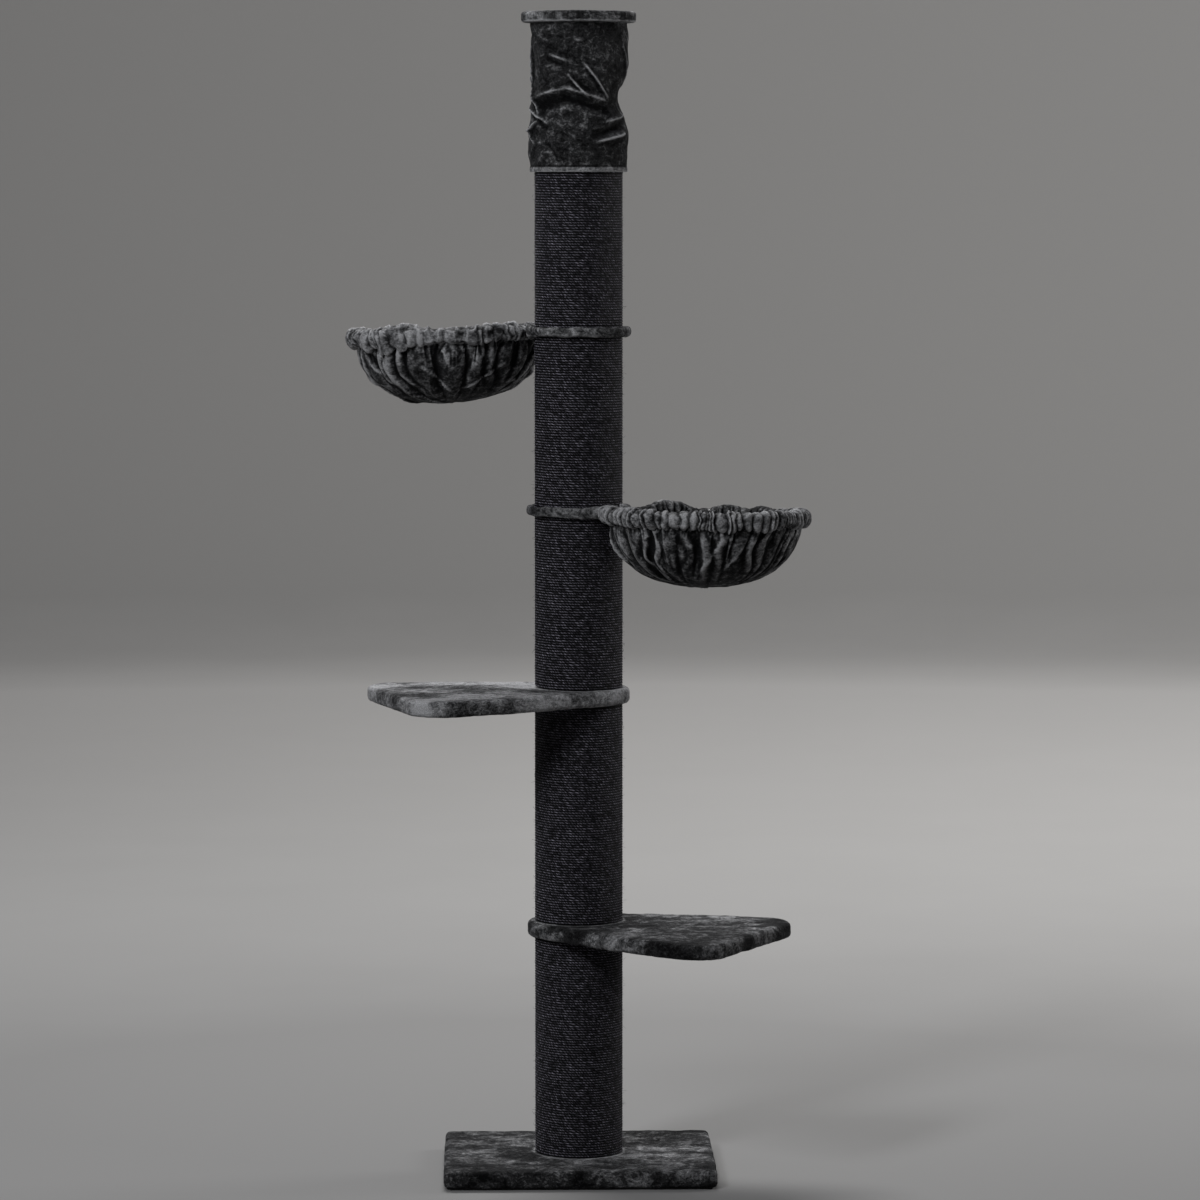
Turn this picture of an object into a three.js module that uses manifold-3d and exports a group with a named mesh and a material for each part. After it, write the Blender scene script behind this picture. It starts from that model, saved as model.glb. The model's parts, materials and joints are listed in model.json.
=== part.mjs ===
// Floor-to-ceiling cat tree: a plush base, one thick sisal post in five sections, two shelves and
// two hammocks clamped between the sections, and a ceiling clamp under a loose plush sleeve.
// Millimetres, +Z up. The origin is on the floor, on the axis of the post.
import * as THREE from "three";
import { mergeVertices } from "three/addons/utils/BufferGeometryUtils.js";
import Module from "manifold-3d";

// Driving dimensions: general.
const GAP = 0.3; // left between any two pieces that touch
const PLUSH = 6; // plush with its pile
const FOLDED_PLUSH = 3; // plush pressed flat under a board

// Base.
const BASE_WIDTH = 617;
const BASE_DEPTH = 497;
const BASE_CORNER_RADIUS = 14;
const BASE_BOARD = 31;
const BASE_FOLD = 55; // how far the cover is turned in under the board
const UNDERLAY = 3;
const UNDERLAY_INSET = 12;

// Post.
const TUBE_RADIUS = 94.2;
const TUBE_WALL = 8;
const ROPE = 6; // thickness of the sisal winding
const LONG_SECTION = 497;
const SHORT_SECTION = 400;
const CAP = 18;

// Fasteners.
const STUD_RADIUS = 5;
const STUD_CLEARANCE = 0.5; // round a stud or bolt, in what it passes through
const TEE_CLEARANCE = 0.4; // round a tee nut's barrel, and inside its bore
const TEE_WALL = 2;
const TEE_BARREL = 13;
const TEE_FLANGE_RADIUS = 13;
const TEE_FLANGE = 1.6;
const BOLT_HEAD_RADIUS = 9.8;
const BOLT_HEAD = 6.4;
const WASHER_RADIUS = 15;
const WASHER = 2;
const COUNTERBORE_CLEARANCE = 2;
const SCREW_RADIUS = 2.2;
const SCREW_CLEARANCE = 0.3;
const SCREW_HEAD_RADIUS = 4.5;
const SCREW_HEAD = 2.5;
const SCREW_LENGTH = 15;

// Shelves.
const SHELF_BOARD = 24;
const SHELF_LEDGE = 17; // how far the round end stands out past the winding
const SHELF_REACH = 452; // from the post's axis to the straight outer end
const SHELF_WIDTH = 472;
const SHELF_CORNER_RADIUS = 75;
const SHELF_SHOULDER_REACH = 240; // where the sides swell out a little
const SHELF_SHOULDER_WIDTH = 414;
const SHELF_SHOULDER_RADIUS = 80;
const LOWER_SHELF_ANGLE = -28.5;
const UPPER_SHELF_ANGLE = 197;

// Hammocks.
const RING_RADIUS = 217; // to the middle of the rod
const ROD_RADIUS = 5;
const RIM_TO_POST = 6.5; // between the sling's rim and the winding
const CHANNEL_CLEARANCE = 1; // round the rod, inside the rim
const RIM_RADIUS = 21; // of the gathered rim's section
const SLING_DEPTH = 168;
const SLING_CLOTH = 5;
const CLAMP_PLATE = 4;
const TONGUE_WIDTH = 60;
const TONGUE_CLEARANCE = 3;
const COLLAR_CLEARANCE = 1.5; // between the collar and the winding
const COLLAR_THICKNESS = 19;
const COLLAR_HEIGHT = 26;
const COLLAR_RIM_CLEARANCE = 2; // between the collar and the rim of the sling
const RIGHT_HAMMOCK_ANGLE = -36.25;
const RIGHT_HAMMOCK_ROLL = 1.5;
const LEFT_HAMMOCK_ANGLE = 148.75;
const LEFT_HAMMOCK_DROOP = 2.5;

// Ceiling clamp.
const SPINDLE_RADIUS = 10;
const SPINDLE_CLEARANCE = 0.6; // in the top cap and the thrust washer
const SPINDLE_IN_POST = 190; // length left inside the post
const SPINDLE_FLANGE_RADIUS = 60;
const SPINDLE_FLANGE = 4;
const NUT_RADIUS = 26; // across the corners
const NUT_HEIGHT = 18;
const NUT_CLEARANCE = 0.3; // round the spindle
const THRUST_WASHER_RADIUS = 30;
const THRUST_WASHER = 3;
const CLAMP_OPENING = 290; // from the top of the post to the spindle's flange
const SCREW_CIRCLE = 44;
const SCREW_COUNT = 4;
const CEILING_BOARD = 16;
const CEILING_LEDGE = 20.5; // how far the plate stands out past the sleeve
const CEILING_FOLD = 34;
const SLEEVE_OVERLAP = 43; // how far the sleeve hangs down over the post
const SLEEVE_CLOTH = 6;
const SLEEVE_CLEARANCE = 4; // between the sleeve and the winding

// Sides of the polygons that stand for circles.
const POST_SIDES = 24;
const PLATE_SIDES = 24;
const RING_SIDES = 32;
const ROD_SIDES = 8;
const BOLT_SIDES = 12;
const RIM_SIDES = 8;
const BOWL_STEPS = 6;
const ARC_STEP = THREE.MathUtils.degToRad(12);

// Sizes that follow.
const POST_RADIUS = TUBE_RADIUS + GAP + ROPE;
const CAP_RADIUS = TUBE_RADIUS - TUBE_WALL - GAP;
const STUD_HOLE = STUD_RADIUS + STUD_CLEARANCE;
const STUD_GRIP = CAP + TEE_FLANGE + 2 * GAP; // through a cap and its tee nut
const TEE_BORE = STUD_RADIUS + TEE_CLEARANCE;
const TEE_BARREL_RADIUS = TEE_BORE + TEE_WALL;
const TEE_HOLE = TEE_BARREL_RADIUS + TEE_CLEARANCE;
const SPINDLE_HOLE = SPINDLE_RADIUS + SPINDLE_CLEARANCE;
const SHELF_ROUND_END = POST_RADIUS + SHELF_LEDGE;
const SHELF_THICKNESS = SHELF_BOARD + 2 * (PLUSH + GAP);
const BOARD_LIFT = FOLDED_PLUSH + GAP; // from a folded cover's underside to its board
const BASE_BOARD_BOTTOM = UNDERLAY + GAP + BOARD_LIFT;
const BASE_TOP = BASE_BOARD_BOTTOM + BASE_BOARD + GAP + PLUSH;
const RING_REACH = POST_RADIUS + RIM_TO_POST + RIM_RADIUS + RING_RADIUS; // from the post's axis
const SLING_RADIUS = RING_RADIUS + ROD_RADIUS;
const SLEEVE_INNER_RADIUS = POST_RADIUS + SLEEVE_CLEARANCE;
const CEILING_RADIUS = SLEEVE_INNER_RADIUS + SLEEVE_CLOTH + CEILING_LEDGE;
const SLOT_WIDTH = TONGUE_WIDTH + 2 * TONGUE_CLEARANCE;
const PIVOT = RING_REACH - RING_RADIUS; // where the rod crosses the end of the tongue

const finish = (color, roughness, metalness = 0) =>
  new THREE.MeshStandardMaterial({ color, roughness, metalness });
const PLUSH_FINISH = finish(0x2c2c2f, 1);
const SISAL_FINISH = finish(0x1b1a1e, 0.9);
const FELT_FINISH = finish(0x3a3a3a, 1);
const BOARD_FINISH = finish(0xb99c72, 0.8);
const CARDBOARD_FINISH = finish(0x8f7552, 0.9);
const ZINC_FINISH = finish(0xb8bcc0, 0.35, 1);
const BLACK_STEEL_FINISH = finish(0x1c1c1e, 0.45, 0.6);

const tree = new THREE.Group();

function addPiece(name, geometry, material, group = tree) {
  const mesh = new THREE.Mesh(geometry, material);
  mesh.name = name;
  group.add(mesh);
  return mesh;
}

// A group turned about the post by an angle in degrees, at a height.
function turnedGroup(angle, height) {
  const group = new THREE.Group();
  group.rotation.z = THREE.MathUtils.degToRad(angle);
  group.position.z = height;
  tree.add(group);
  return group;
}

// ---- Solids ----

const wasm = await Module();
wasm.setup();

function toSolid(geometry) {
  const bare = new THREE.BufferGeometry();
  bare.setAttribute("position", geometry.getAttribute("position"));
  bare.setIndex(geometry.index);
  const merged = mergeVertices(bare, 1e-3);
  return new wasm.Manifold(
    new wasm.Mesh({
      numProp: 3,
      vertProperties: merged.getAttribute("position").array,
      triVerts: new Uint32Array(merged.index.array),
    }),
  );
}

function toGeometry(solid) {
  const { vertProperties, triVerts } = solid.getMesh();
  const geometry = new THREE.BufferGeometry();
  geometry.setAttribute("position", new THREE.BufferAttribute(vertProperties, 3));
  geometry.setIndex(new THREE.BufferAttribute(triVerts, 1));
  return geometry;
}

// One geometry with others joined to it or cut out of it.
const join = (geometry, ...others) =>
  toGeometry(others.reduce((solid, other) => solid.add(toSolid(other)), toSolid(geometry)));
const cut = (geometry, ...others) =>
  toGeometry(others.reduce((solid, other) => solid.subtract(toSolid(other)), toSolid(geometry)));

// A flat piece of the given outline from one height to another, with a round hole on the axis.
function slab(outline, low, high, holeRadius = 0, holeSides = BOLT_SIDES) {
  if (holeRadius > 0) outline.holes.push(circleShape(holeRadius, holeSides));
  const options = { depth: high - low, bevelEnabled: false, curveSegments: 1 };
  return new THREE.ExtrudeGeometry(outline, options).translate(0, 0, low);
}

// A turned piece: [radius, height] pairs, counter-clockwise seen with the axis on the left.
function turned(profile, sides) {
  const points = profile.map(([radius, height]) => new THREE.Vector2(radius, height));
  return new THREE.LatheGeometry(points, sides).rotateX(Math.PI / 2);
}

const rod = (radius, low, high, sides = BOLT_SIDES) =>
  turned([[0, low], [radius, low], [radius, high], [0, high]], sides);

const pipe = (inner, outer, low, high, sides = POST_SIDES) =>
  turned([[inner, low], [outer, low], [outer, high], [inner, high], [inner, low]], sides);

function ringRod(ringRadius, rodRadius, sides, rodSides) {
  const profile = [];
  for (let i = 0; i <= rodSides; i++) {
    const angle = (2 * Math.PI * i) / rodSides;
    profile.push([ringRadius + rodRadius * Math.cos(angle), rodRadius * Math.sin(angle)]);
  }
  return turned(profile, sides);
}

// ---- Outlines ----

// Points on an arc, counter-clockwise from one angle to another.
function arcPoints(x, y, radius, from, to) {
  const steps = Math.max(2, Math.ceil((to - from) / ARC_STEP));
  return Array.from({ length: steps + 1 }, (_, i) => {
    const angle = from + ((to - from) * i) / steps;
    return new THREE.Vector2(x + radius * Math.cos(angle), y + radius * Math.sin(angle));
  });
}

function circleShape(radius, sides) {
  const points = Array.from({ length: sides }, (_, i) => {
    const angle = (2 * Math.PI * i) / sides;
    return new THREE.Vector2(radius * Math.cos(angle), radius * Math.sin(angle));
  });
  return new THREE.Shape(points);
}

function rectangleShape(width, depth, cornerRadius) {
  const x = width / 2 - cornerRadius;
  const y = depth / 2 - cornerRadius;
  const quarter = Math.PI / 2;
  return new THREE.Shape([
    ...arcPoints(x, y, cornerRadius, 0, quarter),
    ...arcPoints(-x, y, cornerRadius, quarter, 2 * quarter),
    ...arcPoints(-x, -y, cornerRadius, 2 * quarter, 3 * quarter),
    ...arcPoints(x, -y, cornerRadius, 3 * quarter, 4 * quarter),
  ]);
}

// The direction in which the line that touches two circles from above faces.
function tangentAngle(near, far) {
  const x = far.x - near.x;
  const y = far.y - near.y;
  return Math.atan2(y, x) + Math.acos((near.radius - far.radius) / Math.hypot(x, y));
}

// A shelf seen from above: a round end on the post, swelling sides and a straight outer end
// between two round corners. The inset draws every edge in by the same amount.
function shelfShape(inset) {
  const onPost = { x: 0, y: 0, radius: SHELF_ROUND_END - inset };
  const shoulder = {
    x: SHELF_SHOULDER_REACH,
    y: SHELF_SHOULDER_WIDTH / 2 - SHELF_SHOULDER_RADIUS,
    radius: SHELF_SHOULDER_RADIUS - inset,
  };
  const corner = {
    x: SHELF_REACH - SHELF_CORNER_RADIUS,
    y: SHELF_WIDTH / 2 - SHELF_CORNER_RADIUS,
    radius: SHELF_CORNER_RADIUS - inset,
  };
  const first = tangentAngle(onPost, shoulder);
  const second = tangentAngle(shoulder, corner);
  return new THREE.Shape([
    ...arcPoints(onPost.x, onPost.y, onPost.radius, first, 2 * Math.PI - first),
    ...arcPoints(shoulder.x, -shoulder.y, shoulder.radius, -first, -second),
    ...arcPoints(corner.x, -corner.y, corner.radius, -second, 0),
    ...arcPoints(corner.x, corner.y, corner.radius, 0, second),
    ...arcPoints(shoulder.x, shoulder.y, shoulder.radius, second, first),
  ]);
}

const baseShape = (inset) =>
  rectangleShape(
    BASE_WIDTH - 2 * inset,
    BASE_DEPTH - 2 * inset,
    Math.max(BASE_CORNER_RADIUS - inset, 1),
  );

const ceilingShape = (inset) => circleShape(CEILING_RADIUS - inset, POST_SIDES);

// ---- Base ----

function addBase() {
  const boardTop = BASE_BOARD_BOTTOM + BASE_BOARD;
  const boreDepth = BOLT_HEAD + WASHER + 2 * GAP + COUNTERBORE_CLEARANCE;
  const seat = BASE_BOARD_BOTTOM + boreDepth; // where the washer pulls on the board
  const headTop = seat - GAP - WASHER - GAP;

  addPiece("base_underlay", slab(baseShape(UNDERLAY_INSET), 0, UNDERLAY), FELT_FINISH);

  const board = slab(baseShape(PLUSH + GAP), BASE_BOARD_BOTTOM, boardTop, STUD_HOLE);
  const counterbore = rod(WASHER_RADIUS + COUNTERBORE_CLEARANCE, UNDERLAY, seat);
  addPiece("base_board", cut(board, counterbore), BOARD_FINISH);

  const cover = slab(baseShape(0), UNDERLAY + GAP, BASE_TOP);
  const boardSpace = slab(baseShape(PLUSH), UNDERLAY + GAP + FOLDED_PLUSH, boardTop + GAP);
  const opening = slab(baseShape(BASE_FOLD), 0, boardTop);
  const boltHole = rod(STUD_HOLE, boardTop, BASE_TOP + GAP);
  addPiece("base_cover", cut(cover, boardSpace, opening, boltHole), PLUSH_FINISH);

  addPiece("base_washer", slab(circleShape(WASHER_RADIUS, BOLT_SIDES), seat - GAP - WASHER,
    seat - GAP, STUD_HOLE), ZINC_FINISH);
  const boltTop = BASE_TOP + GAP + STUD_GRIP;
  const head = slab(circleShape(BOLT_HEAD_RADIUS, 6), headTop - BOLT_HEAD, headTop);
  addPiece("base_bolt", join(head, rod(STUD_RADIUS, headTop - GAP, boltTop)), ZINC_FINISH);
}

// ---- Post ----

// A tee nut on the inner face of a cap. It points down into a bottom cap and up into a top cap.
function addTeeNut(name, face, pointsUp) {
  const profile = [
    [TEE_BORE, -TEE_BARREL],
    [TEE_BARREL_RADIUS, -TEE_BARREL],
    [TEE_BARREL_RADIUS, GAP],
    [TEE_FLANGE_RADIUS, GAP],
    [TEE_FLANGE_RADIUS, GAP + TEE_FLANGE],
    [TEE_BORE, GAP + TEE_FLANGE],
    [TEE_BORE, -TEE_BARREL],
  ];
  const nut = addPiece(name, turned(profile, BOLT_SIDES), ZINC_FINISH);
  nut.position.z = face;
  nut.rotation.x = pointsUp ? Math.PI : 0;
}

// One section of the post, from its bottom: tube, winding, caps and tee nuts. The top section has
// a plain hole for the spindle in its top cap.
function addSection(number, bottom, length, isTop) {
  const top = bottom + length;
  const tubeInner = TUBE_RADIUS - TUBE_WALL;
  const capShape = () => circleShape(CAP_RADIUS, POST_SIDES);

  addPiece(`post_tube_${number}`, pipe(tubeInner, TUBE_RADIUS, bottom, top), CARDBOARD_FINISH);
  addPiece(`sisal_wrap_${number}`, pipe(TUBE_RADIUS + GAP, POST_RADIUS, bottom, top),
    SISAL_FINISH);
  addPiece(`bottom_cap_${number}`, slab(capShape(), bottom, bottom + CAP, TEE_HOLE), BOARD_FINISH);
  addTeeNut(`bottom_tee_nut_${number}`, bottom + CAP, false);
  if (isTop) {
    addPiece(`top_cap_${number}`, slab(capShape(), top - CAP, top, SPINDLE_HOLE, PLATE_SIDES),
      BOARD_FINISH);
  } else {
    addPiece(`top_cap_${number}`, slab(capShape(), top - CAP, top, TEE_HOLE), BOARD_FINISH);
    addTeeNut(`top_tee_nut_${number}`, top - CAP, true);
  }
}

function addStud(number, low, high) {
  addPiece(`stud_${number}`, rod(STUD_RADIUS, low - STUD_GRIP, high + STUD_GRIP), ZINC_FINISH);
}

// ---- Shelves ----

function addShelf(side, angle, bottom) {
  const group = turnedGroup(angle, bottom);
  const boardTop = PLUSH + GAP + SHELF_BOARD;
  addPiece(`${side}_shelf_board`, slab(shelfShape(PLUSH + GAP), PLUSH + GAP, boardTop, STUD_HOLE),
    BOARD_FINISH, group);
  const cover = slab(shelfShape(0), 0, SHELF_THICKNESS, STUD_HOLE);
  const boardSpace = slab(shelfShape(PLUSH), PLUSH, boardTop + GAP);
  addPiece(`${side}_shelf_cover`, cut(cover, boardSpace), PLUSH_FINISH, group);
}

// ---- Hammocks ----

// The sling: a rim casing round the ring's rod, and a bowl that hangs from it.
function slingGeometry() {
  const quarter = Math.PI / 2;
  const outside = [];
  const inside = [];
  for (let i = 0; i <= BOWL_STEPS; i++) {
    const angle = (quarter * i) / BOWL_STEPS;
    const out = Math.cos(angle);
    const down = -Math.sin(angle);
    outside.unshift([SLING_RADIUS * out, SLING_DEPTH * down]);
    inside.push([(SLING_RADIUS - SLING_CLOTH) * out, (SLING_DEPTH - SLING_CLOTH) * down]);
  }
  outside[0][0] = 0;
  inside[BOWL_STEPS][0] = 0;
  const bowl = turned([...outside, ...inside], RING_SIDES);
  return join(ringRod(RING_RADIUS, RIM_RADIUS, RING_SIDES, RIM_SIDES), bowl);
}

// How a ring and its sling sit on their clamp plate: tilted about the end of the tongue, where droop
// lowers the far side and roll lowers the side at +Y.
function ringPlacement(droop, roll) {
  const toPivot = new THREE.Matrix4().makeTranslation(PIVOT, 0, 0);
  const drooped = new THREE.Matrix4().makeRotationY(THREE.MathUtils.degToRad(droop));
  const rolled = new THREE.Matrix4().makeRotationX(THREE.MathUtils.degToRad(-roll));
  const toCentre = new THREE.Matrix4().makeTranslation(RING_RADIUS, 0, 0);
  return toPivot.multiply(drooped).multiply(rolled).multiply(toCentre);
}

// A round steel plate between two sections, with a tongue that reaches the ring.
function clampPlateGeometry() {
  const disc = slab(circleShape(POST_RADIUS, POST_SIDES), -CLAMP_PLATE / 2, CLAMP_PLATE / 2);
  const tongue = new THREE.BoxGeometry(RING_REACH, TONGUE_WIDTH, CLAMP_PLATE);
  tongue.translate(RING_REACH / 2, 0, 0);
  const insideRing = rod(RING_RADIUS + ROD_RADIUS + GAP, -CLAMP_PLATE, CLAMP_PLATE, RING_SIDES);
  insideRing.translate(RING_REACH, 0, 0);
  const studHole = rod(STUD_HOLE, -CLAMP_PLATE, CLAMP_PLATE);
  return cut(join(disc, tongue), insideRing, studHole);
}

// A plush roll round the post at the clamp plate, open where the tongue and the rim are.
function collarGeometry() {
  const inner = POST_RADIUS + COLLAR_CLEARANCE;
  const outer = inner + COLLAR_THICKNESS;
  const middle = (inner + outer) / 2;
  const shoulder = COLLAR_HEIGHT / 4;
  const top = COLLAR_HEIGHT / 2;
  const band = turned([
    [middle, -top],
    [outer, -shoulder],
    [outer, shoulder],
    [middle, top],
    [inner, shoulder],
    [inner, -shoulder],
    [middle, -top],
  ], POST_SIDES);
  const rimRadius = RING_RADIUS + RIM_RADIUS + COLLAR_RIM_CLEARANCE;
  const rimSpace = rod(rimRadius, -COLLAR_HEIGHT, COLLAR_HEIGHT, RING_SIDES);
  rimSpace.translate(RING_REACH, 0, 0);
  const tongueSpace = new THREE.BoxGeometry(2 * outer, SLOT_WIDTH, 2 * COLLAR_HEIGHT);
  tongueSpace.translate(outer, 0, 0);
  return cut(band, rimSpace, tongueSpace);
}

// A hammock on the post, from the underside of its clamp plate.
function addHammock(side, angle, bottom, droop, roll) {
  const group = turnedGroup(angle, bottom + CLAMP_PLATE / 2);
  const placement = ringPlacement(droop, roll);
  const ring = ringRod(RING_RADIUS, ROD_RADIUS, RING_SIDES, ROD_SIDES);
  const channel = ringRod(RING_RADIUS, ROD_RADIUS + CHANNEL_CLEARANCE, RING_SIDES, ROD_SIDES);
  const slot = new THREE.BoxGeometry(PIVOT, SLOT_WIDTH, CLAMP_PLATE + 2 * TONGUE_CLEARANCE);
  slot.translate(PIVOT / 2, 0, 0);
  const sling = cut(slingGeometry(), channel).applyMatrix4(placement);

  addPiece(`${side}_clamp_plate`, clampPlateGeometry(), BLACK_STEEL_FINISH, group);
  addPiece(`${side}_ring`, ring.applyMatrix4(placement), BLACK_STEEL_FINISH, group);
  addPiece(`${side}_sling`, cut(sling, slot), PLUSH_FINISH, group);
  addPiece(`${side}_collar`, collarGeometry(), PLUSH_FINISH, group);
}

// ---- Ceiling clamp ----

// The same solid repeated on the screw circle.
function onScrewCircle(makeGeometry) {
  return Array.from({ length: SCREW_COUNT }, (_, i) => {
    const angle = (2 * Math.PI * (i + 0.5)) / SCREW_COUNT;
    return makeGeometry().translate(
      SCREW_CIRCLE * Math.cos(angle),
      SCREW_CIRCLE * Math.sin(angle),
      0,
    );
  });
}

function addCeilingClamp(postTop) {
  const washerTop = postTop + GAP + THRUST_WASHER;
  addPiece("thrust_washer", slab(circleShape(THRUST_WASHER_RADIUS, PLATE_SIDES), postTop + GAP,
    washerTop, SPINDLE_HOLE, PLATE_SIDES), ZINC_FINISH);
  addPiece("adjusting_nut", slab(circleShape(NUT_RADIUS, 6), washerTop + GAP,
    washerTop + GAP + NUT_HEIGHT, SPINDLE_RADIUS + NUT_CLEARANCE, PLATE_SIDES), ZINC_FINISH);

  const flangeBottom = postTop + CLAMP_OPENING;
  const flangeTop = flangeBottom + SPINDLE_FLANGE;
  const boardBottom = flangeTop + GAP;
  const boardTop = boardBottom + CEILING_BOARD;
  const screwTop = flangeBottom - GAP + SCREW_LENGTH;
  const holeRadius = SCREW_RADIUS + SCREW_CLEARANCE;
  const screwHoles = () =>
    onScrewCircle(() => rod(holeRadius, flangeBottom - GAP, screwTop + GAP, ROD_SIDES));

  const spindle = turned([
    [0, postTop - SPINDLE_IN_POST],
    [SPINDLE_RADIUS, postTop - SPINDLE_IN_POST],
    [SPINDLE_RADIUS, flangeBottom],
    [SPINDLE_FLANGE_RADIUS, flangeBottom],
    [SPINDLE_FLANGE_RADIUS, flangeTop],
    [0, flangeTop],
  ], PLATE_SIDES);
  addPiece("jack_spindle", cut(spindle, ...screwHoles()), ZINC_FINISH);

  const screw = () =>
    turned([
      [0, flangeBottom - GAP - SCREW_HEAD],
      [SCREW_HEAD_RADIUS, flangeBottom - GAP - SCREW_HEAD],
      [SCREW_HEAD_RADIUS, flangeBottom - GAP],
      [SCREW_RADIUS, flangeBottom - GAP],
      [SCREW_RADIUS, screwTop],
      [0, screwTop],
    ], ROD_SIDES);
  onScrewCircle(screw).forEach((geometry, i) =>
    addPiece(`flange_screw_${i + 1}`, geometry, ZINC_FINISH),
  );

  const board = slab(ceilingShape(PLUSH + GAP), boardBottom, boardTop);
  addPiece("ceiling_board", cut(board, ...screwHoles()), BOARD_FINISH);

  const coverBottom = boardBottom - BOARD_LIFT;
  const cover = slab(ceilingShape(0), coverBottom, boardTop + GAP + PLUSH);
  const boardSpace = slab(ceilingShape(PLUSH), coverBottom + FOLDED_PLUSH, boardTop + GAP);
  const opening = slab(ceilingShape(CEILING_FOLD), coverBottom - GAP, boardTop);
  addPiece("ceiling_cover", cut(cover, boardSpace, opening), PLUSH_FINISH);

  addPiece("ceiling_sleeve", pipe(SLEEVE_INNER_RADIUS, SLEEVE_INNER_RADIUS + SLEEVE_CLOTH,
    postTop - SLEEVE_OVERLAP, coverBottom - GAP), PLUSH_FINISH);
}

// ---- The stack, from the floor up ----

addBase();

const STACK = [
  { length: LONG_SECTION, over: SHELF_THICKNESS,
    add: (z) => addShelf("lower", LOWER_SHELF_ANGLE, z) },
  { length: LONG_SECTION, over: SHELF_THICKNESS,
    add: (z) => addShelf("upper", UPPER_SHELF_ANGLE, z) },
  { length: SHORT_SECTION, over: CLAMP_PLATE,
    add: (z) => addHammock("right", RIGHT_HAMMOCK_ANGLE, z, 0, RIGHT_HAMMOCK_ROLL) },
  { length: SHORT_SECTION, over: CLAMP_PLATE,
    add: (z) => addHammock("left", LEFT_HAMMOCK_ANGLE, z, LEFT_HAMMOCK_DROOP, 0) },
  { length: SHORT_SECTION },
];

let height = BASE_TOP;
STACK.forEach(({ length, over, add }, i) => {
  const isTop = !add;
  addSection(i + 1, height + GAP, length, isTop);
  height += GAP + length;
  if (isTop) return;
  add(height + GAP);
  addStud(i + 1, height, height + 2 * GAP + over);
  height += GAP + over;
});
addCeilingClamp(height);

export default tree;
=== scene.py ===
"""Looks for the floor-to-ceiling cat tree: sisal winding, plush covers, gathered slings and sleeve."""
import itertools
import json
import math

import bpy
import numpy as np
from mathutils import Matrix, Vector
from mathutils.geometry import convex_hull_2d


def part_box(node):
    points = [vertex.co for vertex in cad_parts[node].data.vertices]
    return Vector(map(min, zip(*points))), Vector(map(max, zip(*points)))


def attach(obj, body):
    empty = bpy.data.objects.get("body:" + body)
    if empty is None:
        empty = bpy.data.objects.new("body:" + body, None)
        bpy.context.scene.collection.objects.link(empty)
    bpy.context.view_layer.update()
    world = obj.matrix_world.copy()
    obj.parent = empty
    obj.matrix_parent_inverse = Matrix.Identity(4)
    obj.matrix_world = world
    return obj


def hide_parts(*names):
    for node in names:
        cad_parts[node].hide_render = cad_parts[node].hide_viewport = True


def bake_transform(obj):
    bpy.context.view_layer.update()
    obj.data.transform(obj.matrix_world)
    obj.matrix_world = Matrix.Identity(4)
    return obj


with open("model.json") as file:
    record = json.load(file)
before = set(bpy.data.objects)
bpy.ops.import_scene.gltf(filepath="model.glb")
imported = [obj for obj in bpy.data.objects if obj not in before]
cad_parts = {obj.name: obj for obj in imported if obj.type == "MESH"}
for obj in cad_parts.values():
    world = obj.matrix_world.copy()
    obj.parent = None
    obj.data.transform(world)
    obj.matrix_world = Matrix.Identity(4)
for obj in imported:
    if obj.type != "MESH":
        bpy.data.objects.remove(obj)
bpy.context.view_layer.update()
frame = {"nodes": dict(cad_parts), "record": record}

SECTIONS = 5
SIDES = ("right", "left")
SHELVES = ("lower", "upper")

# Board covers, in metres.
COVER_SPACING = 0.0046  # between the points of a cover's mesh
SKIN = 0.0006  # how far a cover lies inside its CAD solid, as room for its unevenness

# Sisal winding, in metres.
ROPE_PITCH = 0.0059
ROPE_COLUMNS = 288  # cross-sections in one turn
ROPE_PROFILE_POINTS = 5
STRAND_LAY = 0.024  # length of rope in which a strand goes once round
STRAND_DEPTH = 0.0007
FIBRE_FREE_END = 0.028  # pressed down by the shelf or roll that turns there
POST_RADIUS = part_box("sisal_wrap_1")[1][0]


def add_object(name, data):
    made = bpy.data.objects.new(name, data)
    bpy.context.collection.objects.link(made)
    return made


# ---- Camera, lights and floor ----

def make_camera():
    data = bpy.data.cameras.new("camera")
    data.sensor_width = 36
    data.lens = 149.66
    camera = add_object("camera", data)
    camera.location = (-0.198, -11.292, 2.260)
    camera.rotation_euler = [math.radians(angle) for angle in (90 - 4.809, 0, -1.25)]
    bpy.context.scene.camera = camera


def add_light(name, location, target, size, power, color=(1, 1, 1)):
    data = bpy.data.lights.new(name, "AREA")
    data.shape = "RECTANGLE"
    data.size, data.size_y = size
    data.energy = power
    data.color = color
    light = add_object(name, data)
    light.location = location
    direction = Vector(target) - Vector(location)
    light.rotation_euler = direction.to_track_quat("-Z", "Y").to_euler()


def make_studio():
    world = bpy.data.worlds.new("studio")
    world.use_nodes = True
    background = world.node_tree.nodes["Background"]
    background.inputs["Color"].default_value = (0.80, 0.80, 0.82, 1)
    background.inputs["Strength"].default_value = 0.20
    bpy.context.scene.world = world
    add_light("key", (-3.0, -4.6, 4.6), (0, 0, 1.4), (1.0, 1.6), 250, (0.95, 0.97, 1.0))
    add_light("side", (4.4, 1.6, 3.0), (0, 0, 1.4), (1.2, 2.4), 80)
    add_light("overhead", (-0.6, 2.6, 5.4), (0, 0, 1.2), (3.0, 1.4), 310)
    add_light("wall", (2.5, 3.5, 8.0), (9.0, 15.0, 0.5), (3.0, 3.0), 900, (1.0, 0.985, 0.965))
    make_cove()
    bpy.context.scene.view_settings.view_transform = "Standard"


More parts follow.
